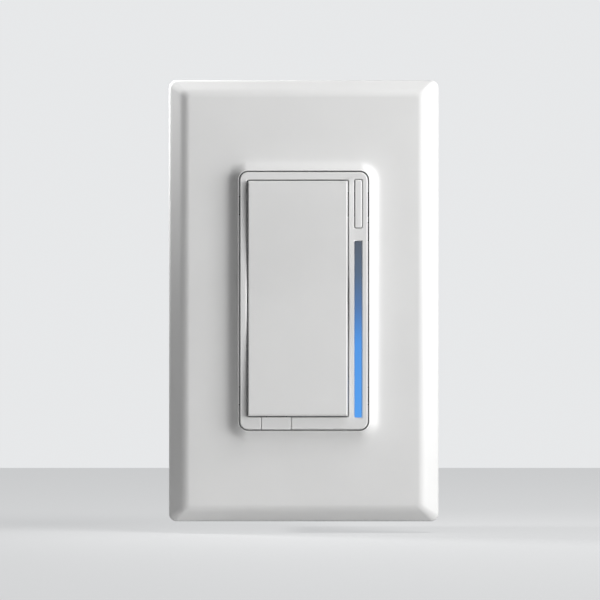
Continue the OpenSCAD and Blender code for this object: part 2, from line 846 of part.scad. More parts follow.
module housing_cover() {
    stand_r = 1.4;
    color(c_dark) {
        difference() {
            along_y(0, lid_t)
                rounded(housing_w, housing_h, 2);
            along_y(-over, lid_t + over) {
                shared_cutouts(0.3);
                rounded_between(fet_x - fet_w / 2 - fit, fet_x + fet_w / 2 + fit, -fet_top - fit,
                    fet_top + fit, fit);
            }
            for (x = [-1, 1], z = [-1, 1])
                peg_y(x * post_x, z * post_z, -over, lid_t + over, long_r + screw_fit, long_r + screw_fit);
        }
        // Stand-offs that carry the control board
        for (x = [board_x0 + 2.7, wide(0.3)], z = [window_z0 + 5, cavity_h / 2 - 3.2])
            peg_y(x, z, lid_t - 0.5, board_y, stand_r, stand_r);
    }
}

// The four terminals: side and height of each
module at_terminal(side, z) {
    translate([0, well_mid, z * well_z])
        scale([side, 1, 1])
            children();
}

module rear_housing() {
    cut = 2.5;
    color(c_dark)
        difference() {
            intersection() {
                along_y(lid_t, housing_back)
                    rounded(housing_w, housing_h, 2);
                along_z(-housing_h, housing_h)
                    polygon([
                        [-housing_w / 2, 0], [housing_w / 2, 0],
                        [housing_w / 2, housing_back - cut], [housing_w / 2 - cut / 2, housing_back],
                        [-housing_w / 2 + cut / 2, housing_back], [-housing_w / 2, housing_back - cut]
                    ]);
            }
            // Cavity, without the posts, the wells and the seats of the power board
            difference() {
                along_y(lid_t - over, floor_y)
                    rounded(cavity_w, cavity_h, 1);
                for (x = [-1, 1], z = [-1, 1]) {
                    peg_y(x * post_x, z * post_z, 0, housing_back, post_r, post_r);
                    at_terminal(x, z)
                        slab(well_in - well_wall, housing_w, well_y0 - well_mid - well_wall,
                            well_y1 - well_mid + well_wall, -well_h / 2 - well_wall, well_h / 2 + well_wall);
                    peg_y(x * (power_w / 2 - 4.4), z * (cavity_h / 2 - 4.2), power_back, housing_back, 2, 2);
                }
            }
            for (x = [-1, 1], z = [-1, 1]) {
                peg_y(x * post_x, z * post_z, 0, housing_back + over, long_r + screw_fit, long_r + screw_fit);
                peg_y(x * post_x, z * post_z, floor_y - 0.5, housing_back + over, 2.15, 2.15);
                at_terminal(x, z) {
                    slab(well_in, housing_w, well_y0 - well_mid, well_y1 - well_mid, -well_h / 2, well_h / 2);
                    slab(well_in - well_wall - over, well_in + over, power_back - well_mid - 0.1,
                        power_back - well_mid + 0.9, -1.7, 1.7);
                    // Hole for a wire from behind
                    peg_y(well_in + bracket_t + 1.2, 3, 0, housing_back, 1.1, 1.1);
                }
            }
        }
}

module housing_screws() {
    color(c_steel)
        for (x = [-1, 1], z = [-1, 1])
            difference() {
                union() {
                    peg_y(x * post_x, z * post_z, -yoke_t + 0.1, floor_y, long_r, long_r);
                    peg_y(x * post_x, z * post_z, floor_y - 0.5, floor_y + 1.3, 2.05, 2.05);
                }
                slab(x * post_x - 3, x * post_x + 3, floor_y + 0.6, floor_y + 1.3 + over,
                    z * post_z - 0.3, z * post_z + 0.3);
            }
}

module terminal_screws() {
    head_h = 2;
    color(c_brass)
        for (x = [-1, 1], z = [-1, 1])
            at_terminal(x, z)
                difference() {
                    union() {
                        peg_x(0, 0, well_in + 0.1, clamp_x + 1 + 0.2, 1.9);
                        peg_x(0, 0, clamp_x + 1, clamp_x + 1 + head_h, 3.4);
                    }
                    slab(clamp_x + 1 + head_h - 0.8, clamp_x + 4, -4, 4, -0.45, 0.45);
                }
}

// A pressure plate with its hole for the screw
module clamp_plate(side, z) {
    color(c_brass)
        at_terminal(side, z)
            difference() {
                slab(clamp_x, clamp_x + 1, -4.6, 4.6, -well_h / 2 + 0.7, well_h / 2 - 0.7);
                peg_x(0, 0, clamp_x - over, clamp_x + 1 + over, 1.9 + screw_fit);
                for (y = [-1, 1])
                    peg_x(y * 4.6, 0, clamp_x - over, clamp_x + 1 + over, 0.9);
            }
}

// A bracket with its tapped hole and its tail on the power board
module terminal_bracket(side, z) {
    tail_y = power_back - well_mid;
    color(c_copper)
        at_terminal(side, z)
            difference() {
                union() {
                    slab(well_in, well_in + bracket_t, -5, 5, -well_h / 2 + 0.9, well_h / 2 - 0.9);
                    slab(well_in - well_wall - 1.4, well_in + bracket_t / 2, tail_y, tail_y + 0.8, -1.5, 1.5);
                }
                peg_x(0, 0, well_in - over, well_in + bracket_t + over, 1.9 + tap_fit);
            }
}

module clamp_plate_line() {
    clamp_plate(-1, 1);
}

module clamp_plate_load() {
    clamp_plate(1, 1);
}

module clamp_plate_neutral() {
    clamp_plate(-1, -1);
}

module clamp_plate_traveler() {
    clamp_plate(1, -1);
}

module terminal_bracket_line() {
    terminal_bracket(-1, 1);
}

module terminal_bracket_load() {
    terminal_bracket(1, 1);
}

module terminal_bracket_neutral() {
    terminal_bracket(-1, -1);
}

module terminal_bracket_traveler() {
    terminal_bracket(1, -1);
}

module control_board() {
    half_h = cavity_h / 2 - 0.6;
    color(c_board)
        difference() {
            along_y(board_y, board_back)
                rounded_between(board_x0, cavity_w / 2 - 0.4, -half_h, half_h, 0.5);
            slab(board_x0 - over, tab_x + stem_w / 2 + 1.4, board_y - over, board_back + over,
                -half_h - over, window_z0 + 2.5);
            for (z = [-1, 1])
                peg_y(post_x, z * post_z, board_y - over, board_back + over, post_r + 0.3, post_r + 0.3);
        }
}

module power_board() {
    color(c_board)
        difference() {
            along_y(power_y, power_back) {
                square([power_w, cavity_h - 0.6], center = true);
                square([cavity_w - 0.8, 2 * (well_z - well_h / 2 - well_wall - 0.3)], center = true);
            }
            for (z = [-1, 1], lead = [-1, 0, 1])
                slab(fet_x + lead * lead_pitch - 0.5, fet_x + lead * lead_pitch + 0.5, power_y - over,
                    power_back + over, z * 1.7 - 0.45, z * 1.7 + 0.45);
        }
}

module board_connector() {
    x = wide(0.39);
    z = tall(0.337);
    pins = 6;
    pitch = tall(0.035);
    body_w = 3;
    pin_w = 0.6;
    color(c_dark)
        slab(x - body_w / 2, x + body_w / 2, board_back + 2.5, power_y, z - (pins + 0.4) / 2 * pitch,
            z + (pins + 0.4) / 2 * pitch);
    color(c_brass)
        for (i = [0:pins - 1]) {
            pin_z = z + (i - (pins - 1) / 2) * pitch;
            slab(x - pin_w / 2, x + pin_w / 2, board_back, board_back + 2.6, pin_z - pin_w / 2,
                pin_z + pin_w / 2);
        }
}

// Outline of the radio's small board
radio_x0 = wide(-0.187);
radio_x1 = wide(0.261);
radio_z0 = tall(0.128);
radio_z1 = tall(0.385);
radio_t = 0.8;

module radio_module() {
    pads = 9;
    color(c_green)
        difference() {
            slab(radio_x0, radio_x1, board_back, board_back + radio_t, radio_z0, radio_z1);
            for (i = [1:pads])
                peg_y(radio_x0, radio_z0 + i * (radio_z1 - radio_z0) / (pads + 1), board_back - over,
                    board_back + radio_t + over, 0.4, 0.4);
        }
}

module radio_shield() {
    can_h = 2;
    can_t = 0.3;
    x0 = radio_x0 + 1;
    x1 = radio_x1 - 1;
    z0 = radio_z0 + 1;
    z1 = radio_z0 + tall(0.176);
    color(c_metal)
        difference() {
            along_y(board_back + radio_t, board_back + radio_t + can_h)
                rounded_between(x0, x1, z0, z1, 0.6);
            along_y(board_back, board_back + radio_t + can_h - can_t)
                rounded_between(x0 + can_t, x1 - can_t, z0 + can_t, z1 - can_t, 0.4);
        }
}

// A push switch: a square body with a round plunger
module tact_switch(x, z) {
    body_y = board_y - tact_h;
    color(c_dark) {
        slab(x - tact_w / 2, x + tact_w / 2, body_y, board_y, z - tact_w / 2, z + tact_w / 2);
        peg_y(x, z, body_y - plunger_h, body_y + 0.2, plunger_r, plunger_r);
        for (px = [-1, 1], pz = [-1, 1])
            peg_y(x + px * 2.2, z + pz * 2.2, body_y - 0.2, body_y + 0.2, 0.45, 0.45);
    }
}

// A soft cap that sits over a plunger
module tact_cap(x, z) {
    body_y = board_y - tact_h;
    color(c_rubber)
        difference() {
            union() {
                peg_y(x, z, cap_y, body_y - 0.6, plunger_r + 0.3, plunger_r + cap_t - 0.2);
                peg_y(x, z, body_y - 0.7, body_y - 0.25, plunger_r + cap_t, plunger_r + cap_t);
            }
            peg_y(x, z, body_y - plunger_h - 0.02, body_y, plunger_r + 0.02, plunger_r + 0.02);
        }
}

module tact_switch_up() {
    tact_switch(paddle_x, paddle_z + switch_arm);
}

module tact_switch_down() {
    tact_switch(paddle_x, paddle_z - switch_arm);
}

module tact_switch_config() {
    tact_switch(column_x, button_z);
}

module tact_cap_up() {
    tact_cap(paddle_x, paddle_z + switch_arm);
}

module tact_cap_down() {
    tact_cap(paddle_x, paddle_z - switch_arm);
}

module tact_cap_config() {
    tact_cap(column_x, button_z);
}

// Height of a lamp, counted from the lowest
function led_z(i) = bar_z + (i - (led_count - 1) / 2) * (bar_h - 6) / (led_count - 1);

module status_leds() {
    color(c_plastic)
        for (i = [0:led_count - 1]) {
            slab(column_x - 0.5, column_x + 0.5, board_y - 0.5, board_y, led_z(i) - 0.9, led_z(i) + 0.9);
            slab(column_x - 0.4, column_x + 0.4, board_y - 0.8, board_y - 0.4, led_z(i) - 0.6,
                led_z(i) + 0.6);
        }
}

module light_baffle() {
    cell_h = (bar_h - 6) / (led_count - 1) - 0.8;
    color(c_plastic)
        difference() {
            slab(column_x - baffle_w / 2, column_x + baffle_w / 2, -yoke_t + 0.05, board_y,
                bar_z - bar_h / 2, bar_z + bar_h / 2);
            for (i = [0:led_count - 1])
                slab(column_x - 0.75, column_x + 0.75, -yoke_t - over, board_y + over,
                    led_z(i) - cell_h / 2, led_z(i) + cell_h / 2);
        }
}

// A power transistor with its tab, its body and three bent leads
module mosfet(side) {
    color(c_dark)
        scale([1, 1, side])
            difference() {
                union() {
                    slab(fet_x - fet_w / 2, fet_x + fet_w / 2, pad_t, pad_t + fet_tab_t, fet_z + fet_body - 1,
                        fet_top);
                    slab(fet_x - fet_w / 2, fet_x + fet_w / 2, pad_t, pad_t + fet_t, fet_z, fet_z + fet_body);
                    for (lead = [-1, 0, 1])
                        translate([fet_x + lead * lead_pitch, pad_t + 2, 0]) {
                            slab(-lead_w / 2, lead_w / 2, 0, 0.6, 1.4, fet_z + 0.5);
                            slab(-lead_w / 2, lead_w / 2, 0, power_back - pad_t - 1.2, 1.4, 2);
                        }
                }
                peg_y(fet_x, fet_hole_z, pad_t - over, pad_t + fet_tab_t + over, fet_screw_r + screw_fit,
                    fet_screw_r + screw_fit);
            }
}

// The insulating pad between a transistor and the yoke
module heat_pad(side) {
    color([0.75, 0.78, 0.85])
        scale([1, 1, side])
            difference() {
                slab(fet_x - fet_w / 2, fet_x + fet_w / 2, 0, pad_t, fet_z, fet_top);
                peg_y(fet_x, fet_hole_z, -over, pad_t + over, fet_screw_r + screw_fit,
                    fet_screw_r + screw_fit);
            }
}

module mosfet_top() {
    mosfet(1);
}

module mosfet_bottom() {
    mosfet(-1);
}

module heat_pad_top() {
    heat_pad(1);
}

module heat_pad_bottom() {
    heat_pad(-1);
}

module heat_sink_screws() {
    head_y = pad_t + fet_tab_t;
    color(c_steel)
        for (z = [-1, 1])
            difference() {
                union() {
                    peg_y(fet_x, z * fet_hole_z, -yoke_t + 0.1, head_y + 0.2, fet_screw_r, fet_screw_r);
                    peg_y(fet_x, z * fet_hole_z, head_y, head_y + 1.6, 2.6, 2.6);
                }
                slab(fet_x - 3, fet_x + 3, head_y + 0.9, head_y + 1.6 + over, z * fet_hole_z - 0.35,
                    z * fet_hole_z + 0.35);
            }
}

// Place and size of the choke
choke_x = wide(-0.168);
choke_z = tall(0.304);
choke_in = wide(0.127);
choke_out = wide(0.261);
choke_h = 5;
wire_t = 0.8;

// A ring round the choke's axis, from a section of radius and height
module choke_ring(r0, r1, y0, y1) {
    translate([choke_x, y0, choke_z])
        rotate([-90, 0, 0])
            rotate_extrude()
                translate([r0, 0])
                    square([r1 - r0, y1 - y0]);
}

module choke_core() {
    top = power_y - wire_t - choke_h;
    color(c_dark)
        choke_ring(choke_in, choke_out, top, top + choke_h);
}

module choke_winding() {
    top = power_y - wire_t - choke_h;
    turns = 18;
    color(c_copper)
        difference() {
            choke_ring(choke_in - wire_t, choke_out + wire_t, top - wire_t, power_y);
            choke_ring(choke_in, choke_out, top, top + choke_h);
            // Gaps between the turns, on the outside of the ring
            for (i = [0:turns - 1])
                translate([choke_x, 0, choke_z])
                    rotate([0, i * 360 / turns, 0])
                        slab(choke_out, choke_out + 2, top - 2, power_y + over, -0.3, 0.3);
        }
}

// Sides of the transformer's core
core_x0 = wide(-0.075);
core_x1 = wide(0.448);
core_z0 = tall(-0.192);
core_z1 = tall(0.096);

module film_capacitor() {
    case_h = 11;
    color([0.75, 0.6, 0.15])
        along_y(power_y - case_h, power_y)
            rounded_between(fet_x + lead_pitch + lead_w / 2 + 0.45, core_x0 - 1.7, tall(-0.16),
                tall(0.048), 0.8);
}

module bulk_capacitor() {
    can_r = wide(0.187);
    can_h = 13;
    edge = 0.4;
    color([0.12, 0.14, 0.2])
        translate([wide(0.224), power_y, tall(-0.32)])
            rotate([90, 0, 0])
                rotate_extrude()
                    polygon([
                        [0, 0], [can_r, 0], [can_r, 1], [can_r - edge, 1.3], [can_r - edge, 1.9],
                        [can_r, 2.2], [can_r, can_h - edge], [can_r - edge, can_h], [0, can_h]
                    ]);
}

module supply_transformer() {
    core_h = 12;
    limb_x = 0.214 * (core_x1 - core_x0);
    limb_z = 0.139 * (core_z1 - core_z0);
    color([0.55, 0.5, 0.2]) {
        difference() {
            slab(core_x0, core_x1, power_y - core_h, power_y - 1, core_z0, core_z1);
            slab(core_x0 + limb_x, core_x1 - limb_x, power_y - core_h - over, power_y, core_z0 + limb_z,
                core_z1 - limb_z);
        }
        // Bobbin, with its winding, and its four pins
        slab(core_x0 + 1.3 * limb_x, core_x1 - 1.3 * limb_x, power_y - core_h + 0.5, power_y - 1.5,
            core_z0 + 0.8 * limb_z, core_z1 - 0.8 * limb_z);
        for (x = [core_x0 + 1, core_x1 - 1], z = [core_z0 + limb_z, core_z1 - limb_z])
            slab(x - 0.5, x + 0.5, power_y - 1.2, power_y, z - 0.5, z + 0.5);
    }
}

module fuse() {
    cap_r = 1.9;
    fuse_l = tall(0.192);
    band = 0.21 * fuse_l;
    color([0.85, 0.85, 0.8])
        translate([wide(-0.261), power_back + cap_r, -fuse_l / 2]) {
            cylinder(h = fuse_l, r = cap_r - 0.3);
            for (z = [0, fuse_l - band])
                translate([0, 0, z])
                    cylinder(h = band, r = cap_r);
        }
}

module varistor() {
    disc_r = (floor_y - power_back - 1.4) / 2;
    disc_t = 4;
    x = wide(0.187);
    z = tall(0.128);
    color([0.2, 0.3, 0.6]) {
        peg_x(power_back + 0.8 + disc_r, z, x - disc_t / 2, x + disc_t / 2, disc_r);
        for (lead = [-1, 1])
            slab(x - 0.3, x + 0.3, power_back, power_back + disc_r / 2, z + lead * disc_r / 2 - 0.3,
                z + lead * disc_r / 2 + 0.3);
    }
}

module air_gap_leaf() {
    z0 = -cavity_h / 2 + 0.1;
    z1 = window_z0 + 6;
    color(c_brass)
        difference() {
            slab(tab_x - 2, tab_x + 2, leaf_y, power_y, z0, z1);
            slab(tab_x - 3, tab_x + 3, leaf_y + leaf_t, power_y - 0.4, z0 + leaf_t, z1 + over);
            slab(tab_x - 3, tab_x + 3, power_y - over, power_y + over, z0 + 2.5, z1 + over);
        }
}

module air_gap_contact() {
    z1 = window_z0 + 6;
    color(c_copper) {
        slab(tab_x - 1.5, tab_x + 1.5, leaf_y + leaf_t + 0.6, power_y, z1 - 2, z1 - 1);
        peg_y(tab_x, z1 - 1.5, leaf_y + leaf_t + 0.05, leaf_y + leaf_t + 0.8, 1.2, 1.2);
    }
}

wall_plate_cover();
wall_plate_base();
plate_screws();
bezel();
paddle();
config_button();
light_bar();
air_gap_tab();
paddle_spring();
yoke();
box_screws();
screw_retainer_top();
screw_retainer_bottom();
ground_screw();
housing_cover();
rear_housing();
housing_screws();
terminal_screws();
clamp_plate_line();
clamp_plate_load();
clamp_plate_neutral();
clamp_plate_traveler();
terminal_bracket_line();
terminal_bracket_load();
terminal_bracket_neutral();
terminal_bracket_traveler();
control_board();
power_board();
board_connector();
radio_module();
radio_shield();
tact_switch_up();
tact_switch_down();
tact_switch_config();
tact_cap_up();
tact_cap_down();
tact_cap_config();
status_leds();
light_baffle();
mosfet_top();
mosfet_bottom();
heat_pad_top();
heat_pad_bottom();
heat_sink_screws();
choke_core();
choke_winding();
film_capacitor();
bulk_capacitor();
supply_transformer();
fuse();
varistor();
air_gap_leaf();
air_gap_contact();
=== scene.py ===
"""The looks of a smart dimmer switch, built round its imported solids. Metres, front towards -Y."""

import json
import math

import bmesh
import bpy
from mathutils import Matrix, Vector


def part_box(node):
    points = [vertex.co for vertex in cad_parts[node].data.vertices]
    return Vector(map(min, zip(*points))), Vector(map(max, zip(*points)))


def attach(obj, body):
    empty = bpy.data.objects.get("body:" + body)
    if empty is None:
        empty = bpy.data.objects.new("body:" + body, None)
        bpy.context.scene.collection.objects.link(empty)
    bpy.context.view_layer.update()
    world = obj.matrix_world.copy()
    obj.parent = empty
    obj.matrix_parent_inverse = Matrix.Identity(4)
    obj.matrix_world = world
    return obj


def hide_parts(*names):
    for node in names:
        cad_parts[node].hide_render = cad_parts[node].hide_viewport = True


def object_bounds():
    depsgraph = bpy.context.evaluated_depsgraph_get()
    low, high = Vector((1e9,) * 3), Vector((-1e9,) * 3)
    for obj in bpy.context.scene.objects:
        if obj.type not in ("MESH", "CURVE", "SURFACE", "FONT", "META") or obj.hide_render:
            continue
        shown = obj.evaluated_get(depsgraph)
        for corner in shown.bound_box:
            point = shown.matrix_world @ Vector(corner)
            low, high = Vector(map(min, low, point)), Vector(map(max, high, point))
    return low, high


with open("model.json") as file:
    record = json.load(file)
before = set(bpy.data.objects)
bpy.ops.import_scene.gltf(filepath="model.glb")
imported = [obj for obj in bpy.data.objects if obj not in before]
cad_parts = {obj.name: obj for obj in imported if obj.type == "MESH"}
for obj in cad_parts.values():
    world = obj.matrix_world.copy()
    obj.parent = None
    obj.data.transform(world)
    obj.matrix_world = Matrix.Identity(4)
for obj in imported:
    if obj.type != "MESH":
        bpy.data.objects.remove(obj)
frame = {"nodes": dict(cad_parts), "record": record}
cad_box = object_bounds()

MM = 0.001

# The cover as its solid has it: depth of the face, wall, straight edge, corners and bevels
COVER_DEPTH = 5.6 * MM
COVER_WALL = 1.6 * MM
COVER_EDGE = 2.4 * MM
COVER_RADIUS = 2 * MM
BEVEL_SIDE = 4.7 * MM
BEVEL_END = 3.9 * MM
# Corner radius of the smallest rings, and how much of the outer corner's radius the bevel takes away
SMALL_RADIUS = 0.5 * MM
BEVEL_TIGHTENING = 0.5

# Edges softer than the solid's: the foot at the wall, the shoulder below the bevel, and the crease
# above it. The crease's place is a share of the bevel's width, and its softness a share of that place.
FOOT_SOFT = 0.12 * MM
SHOULDER_RADIUS = 1.5 * MM
CREASE_SIDE = 0.88
CREASE_SOFT = 0.35
# Shares of the bevel's width that the first bevel ring keeps from the shoulder, and the last ring
# reaches past the crease
BEVEL_START = 0.01
BEVEL_OVERRUN = 0.02

# The lip: height over the face, width, steep part and shallow part, and the rounding of each
LIP_HEIGHT = 2.4 * MM
LIP_WIDTH = 9 * MM
LIP_KNEE = 2 * MM
LIP_TAIL = 0.45 * MM
LIP_END = 0.05 * MM
LIP_SOFT = 0.5 * MM
LIP_ROUND = 0.15 * MM

# The opening, half as wide as the bezel and its gap, and the skirt round it at the back
BEZEL_HALF = 16.5 * MM
OPENING_GAP = 0.3 * MM
OPENING_RADIUS = 2.4 * MM
SKIRT_WALL = 1.2 * MM
SKIRT_BACK = -3.3 * MM

# The hooks inside the cover: their places from its side and end, and their section
HOOK_SIDE = 10 * MM
HOOK_END = 17 * MM
HOOK_WIDTH = 6 * MM
HOOK_WALL = 1.4 * MM
HOOK_NOSE = 0.6 * MM
HOOK_CATCH = -1.5 * MM
HOOK_TIP = -0.6 * MM

# The pry notch in the lower edge. Its sides and its top lean by a hair, so that no faces overlap.
NOTCH_WIDTH = 8 * MM
NOTCH_DEPTH = 0.8 * MM
NOTCH_FRONT = -1.2 * MM
NOTCH_LEAN = 0.02 * MM
NOTCH_TOP = 0.01 * MM

# The cover's inside, in shares of the wall: how far its straight side stops short of the outer edge,
# and how far the back of the face stands in from the bevel
INNER_EDGE_SHARE = 0.5
INNER_BEVEL_SHARE = 0.3

# Steps along the curves of the cover, and how strongly the lip's rings crowd towards the opening
CORNER_STEPS = 14
SHOULDER_STEPS = 6
BEVEL_STEPS = 24
LIP_EDGE_STEPS = 6
LIP_STEPS = 48
LIP_CROWDING = 1.5

# Screws: distance between the two of a pair, and the ridge of their threads. The ridge's foot reaches
# a share of the pitch each way, and lies a hair inside the shank.
BOX_SPAN = 83.34 * MM
PLATE_SPAN = 96.84 * MM
THREAD_RADIUS = 1.75 * MM
THREAD_PITCH = 0.794 * MM
THREAD_RISE = 0.13 * MM
THREAD_FOOT = 0.36
THREAD_SINK = -0.02 * MM
THREAD_STEPS = 24
# Where the threads of each pair start and end
BOX_THREAD = (2 * MM, 21 * MM)
PLATE_THREAD = (0.6 * MM, 3.8 * MM)

# Fillets: on the front edges only of what fills the opening, and on all edges of the others
FRONT_FILLETS = {
    "bezel": 0.33 * MM,
    "paddle": 0.4 * MM,
    "config_button": 0.3 * MM,
    "light_bar": 0.08 * MM,
    "air_gap_tab": 0.12 * MM,
}
FILLETS = {
    "wall_plate_base": 0.15 * MM,
    "yoke": 0.12 * MM,
    "housing_cover": 0.2 * MM,
    "rear_housing": 0.3 * MM,
}
SMALL_FILLET = 0.06 * MM
FILLET_STEPS = 3
SMALL_FILLET_STEPS = 2
# Depth of the paddle's valley, and how far behind a piece's front its front edges reach
PADDLE_DIP = 1.4 * MM
FRONT_DEPTH = 0.1 * MM
# Edges sharper than these angles get a fillet, or stay sharp in the shading
FILLET_ANGLE = math.radians(28)
SHADING_ANGLE = math.radians(30)
# Faces flatter than this are joined before the fillets, and points nearer than this are one
FLAT_ANGLE = math.radians(0.6)
WELD_DISTANCE = 1e-6
MERGE_DISTANCE = 1e-7

# The photograph's view: a long lens straight in front
VIEW_WIDTH = 155.44 * MM
VIEW_X = -0.97 * MM
VIEW_Z = 0.2 * MM
VIEW_FRONT = -2 * MM
LENS = 300
SENSOR = 36
CLIP_START = 0.01
CLIP_END = 20

# Square lamps: place, point that they look at, side, power in watts and angle of the beam in degrees
LAMPS = {
    "key": ((0.87, -0.5, 0.1), (0, 0, 0), 0.5, 7.6, 180),
    "side": ((0.75, -0.65, 0.1), (0, 0, 0), 0.5, 2, 180),
    "top": ((0.2, -0.17, 0.4), (0, 0, 0), 0.25, 1.15, 180),
    "rim": ((-0.106, 0.03, 0.1), (-0.034, 0, 0.04), 0.03, 0.06, 90),
}

# The world: its light on the object, and the tone that shows behind it
WORLD_LIGHT = 0.02
WORLD_TONE = (0.8, 0.81, 0.82, 1)

# The floor: half its width, its distance below the object, its finish, its tone for bounced light and
# for what is seen, and the pale glow that is mixed in where it is seen
FLOOR_HALF = 0.5
FLOOR_DROP = 3 * MM
FLOOR_ROUGHNESS = 0.9
FLOOR_GLOSS = 0.1
FLOOR_BOUNCE_TONE = (0.6, 0.6, 0.6, 1)
FLOOR_SEEN_TONE = (0.8, 0.8, 0.8, 1)
FLOOR_GLOW = (0.78, 0.79, 0.8, 1)
FLOOR_GLOW_SHARE = 0.7


def box_of(node):
    """Lowest and highest corner of a node."""
    low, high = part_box(node)
    return Vector(low), Vector(high)


def slot_of(node):
    """The material slot of a node in the record."""
    return next(e["material_slot"] for e in frame["record"]["subparts"] if e["node"] == node)


# Meshes


def add_piece(name, points, faces):
    """A mesh object from points and faces, with its faces turned outwards."""
    mesh = bpy.data.meshes.new(name)
    mesh.from_pydata([tuple(p) for p in points], [], faces)
    work = bmesh.new()
    work.from_mesh(mesh)
    bmesh.ops.remove_doubles(work, verts=work.verts, dist=MERGE_DISTANCE)
    bmesh.ops.recalc_face_normals(work, faces=work.faces)
    work.to_mesh(mesh)
    work.free()
    for face in mesh.polygons:
        face.use_smooth = True
    piece = bpy.data.objects.new(name, mesh)
    bpy.context.scene.collection.objects.link(piece)
    return piece


def ring(half_w, half_h, radius, y, dent=0):
    """Points of a rounded rectangle in a plane of constant Y, with a dent for the pry notch."""
    points = []
    for corner, (sx, sz) in enumerate(((1, 1), (-1, 1), (-1, -1), (1, -1))):
        for step in range(CORNER_STEPS + 1):
            angle = math.pi / 2 * (corner + step / CORNER_STEPS)
            x = sx * (half_w - radius) + radius * math.cos(angle)
            z = sz * (half_h - radius) + radius * math.sin(angle)
            points.append((x, y, z))
        if corner == 2:
            side = NOTCH_WIDTH / 2
            points.append((-side - NOTCH_LEAN, y, -half_h))
            points.append((-side, y, -half_h + dent))
            points.append((side, y, -half_h + dent))
            points.append((side + NOTCH_LEAN, y, -half_h))
    return points


def loft(name, rings):
    """Faces between rings of equal length, and from the last ring back to the first."""
    count = len(rings[0])
    points = [p for r in rings for p in r]
    faces = []
    for i in range(len(rings)):
        a = i * count
        b = (i + 1) % len(rings) * count
        for k in range(count):
            j = (k + 1) % count
            faces.append((a + k, a + j, b + j, b + k))
    return add_piece(name, points, faces)


def new_group(name):
    """An empty modifier group that takes and gives a mesh."""
    tree = bpy.data.node_groups.new(name, "GeometryNodeTree")
    tree.interface.new_socket("Geometry", in_out="INPUT", socket_type="NodeSocketGeometry")
    tree.interface.new_socket("Geometry", in_out="OUTPUT", socket_type="NodeSocketGeometry")
    start = tree.nodes.new("NodeGroupInput")
    end = tree.nodes.new("NodeGroupOutput")
    return tree, start, end


def edge_shading():
    """A modifier group that shades smooth, but keeps the sharp edges."""
    tree, start, end = new_group("smooth_by_angle")
    faces = tree.nodes.new("GeometryNodeSetShadeSmooth")
    edges = tree.nodes.new("GeometryNodeSetShadeSmooth")
    edges.domain = "EDGE"
    edges.inputs["Shade Smooth"].default_value = False
    angle = tree.nodes.new("GeometryNodeInputMeshEdgeAngle")
    compare = tree.nodes.new("FunctionNodeCompare")
    compare.data_type = "FLOAT"
    compare.operation = "GREATER_THAN"
    compare.inputs[1].default_value = SHADING_ANGLE
    tree.links.new(start.outputs[0], faces.inputs["Geometry"])
    tree.links.new(faces.outputs[0], edges.inputs["Geometry"])
    tree.links.new(angle.outputs["Unsigned Angle"], compare.inputs[0])
    tree.links.new(compare.outputs[0], edges.inputs["Selection"])
    tree.links.new(edges.outputs[0], end.inputs[0])
    return tree


def front_weights(name, front):
    """A modifier group that weighs only the sharp edges in front of a plane, for a bevel."""
    tree, start, end = new_group(name)
    store = tree.nodes.new("GeometryNodeStoreNamedAttribute")
    store.data_type = "FLOAT"
    store.domain = "EDGE"
    store.inputs["Name"].default_value = "bevel_weight_edge"
    angle = tree.nodes.new("GeometryNodeInputMeshEdgeAngle")
    place = tree.nodes.new("GeometryNodeInputPosition")
    split = tree.nodes.new("ShaderNodeSeparateXYZ")
    sharp = tree.nodes.new("ShaderNodeMath")
    sharp.operation = "GREATER_THAN"
    sharp.inputs[1].default_value = FILLET_ANGLE
    near = tree.nodes.new("ShaderNodeMath")
    near.operation = "LESS_THAN"
    near.inputs[1].default_value = front
    both = tree.nodes.new("ShaderNodeMath")
    both.operation = "MULTIPLY"
    tree.links.new(place.outputs[0], split.inputs[0])
    tree.links.new(angle.outputs["Unsigned Angle"], sharp.inputs[0])
    tree.links.new(split.outputs["Y"], near.inputs[0])
    tree.links.new(sharp.outputs[0], both.inputs[0])
    tree.links.new(near.outputs[0], both.inputs[1])
    tree.links.new(both.outputs[0], store.inputs["Value"])
    tree.links.new(start.outputs[0], store.inputs["Geometry"])
    tree.links.new(store.outputs[0], end.inputs[0])
    return tree


SMOOTH_BY_ANGLE = edge_shading()


def add_group(piece, name, tree):
    """A modifier that runs a group on a piece."""
    modifier = piece.modifiers.new(name, "NODES")
    modifier.node_group = tree


def round_edges(piece, width, segments=FILLET_STEPS, weights=None):
    """Fillets on the sharp edges of a piece, or on the edges that a group weighs, between flat faces."""
    weld = piece.modifiers.new("weld", "WELD")
    weld.merge_threshold = WELD_DISTANCE
    flat = piece.modifiers.new("flat", "DECIMATE")
    flat.decimate_type = "DISSOLVE"
    flat.angle_limit = FLAT_ANGLE
    flat.delimit = set()
    if weights:
        add_group(piece, "marks", weights)
    bevel = piece.modifiers.new("bevel", "BEVEL")
    bevel.width = width
    bevel.segments = segments
    bevel.limit_method = "WEIGHT" if weights else "ANGLE"
    bevel.angle_limit = FILLET_ANGLE
    bevel.miter_outer = "MITER_ARC"
    bevel.use_clamp_overlap = not weights
    bevel.harden_normals = False
    add_group(piece, "smooth", SMOOTH_BY_ANGLE)
    normals = piece.modifiers.new("normals", "WEIGHTED_NORMAL")
    normals.keep_sharp = True


def round_nodes():
    """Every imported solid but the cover, which is replaced, gets its fillets."""
    for node, width in FRONT_FILLETS.items():
        dip = PADDLE_DIP if node == "paddle" else 0
        front = box_of(node)[0].y + dip + FRONT_DEPTH
        round_edges(frame["nodes"][node], width, weights=front_weights(node + "_edges", front))
    for node, width in FILLETS.items():
        round_edges(frame["nodes"][node], width)
    for entry in frame["record"]["subparts"]:
        if entry["node"] not in (*FRONT_FILLETS, *FILLETS, "wall_plate_cover"):
            round_edges(frame["nodes"][entry["node"]], SMALL_FILLET, segments=SMALL_FILLET_STEPS)


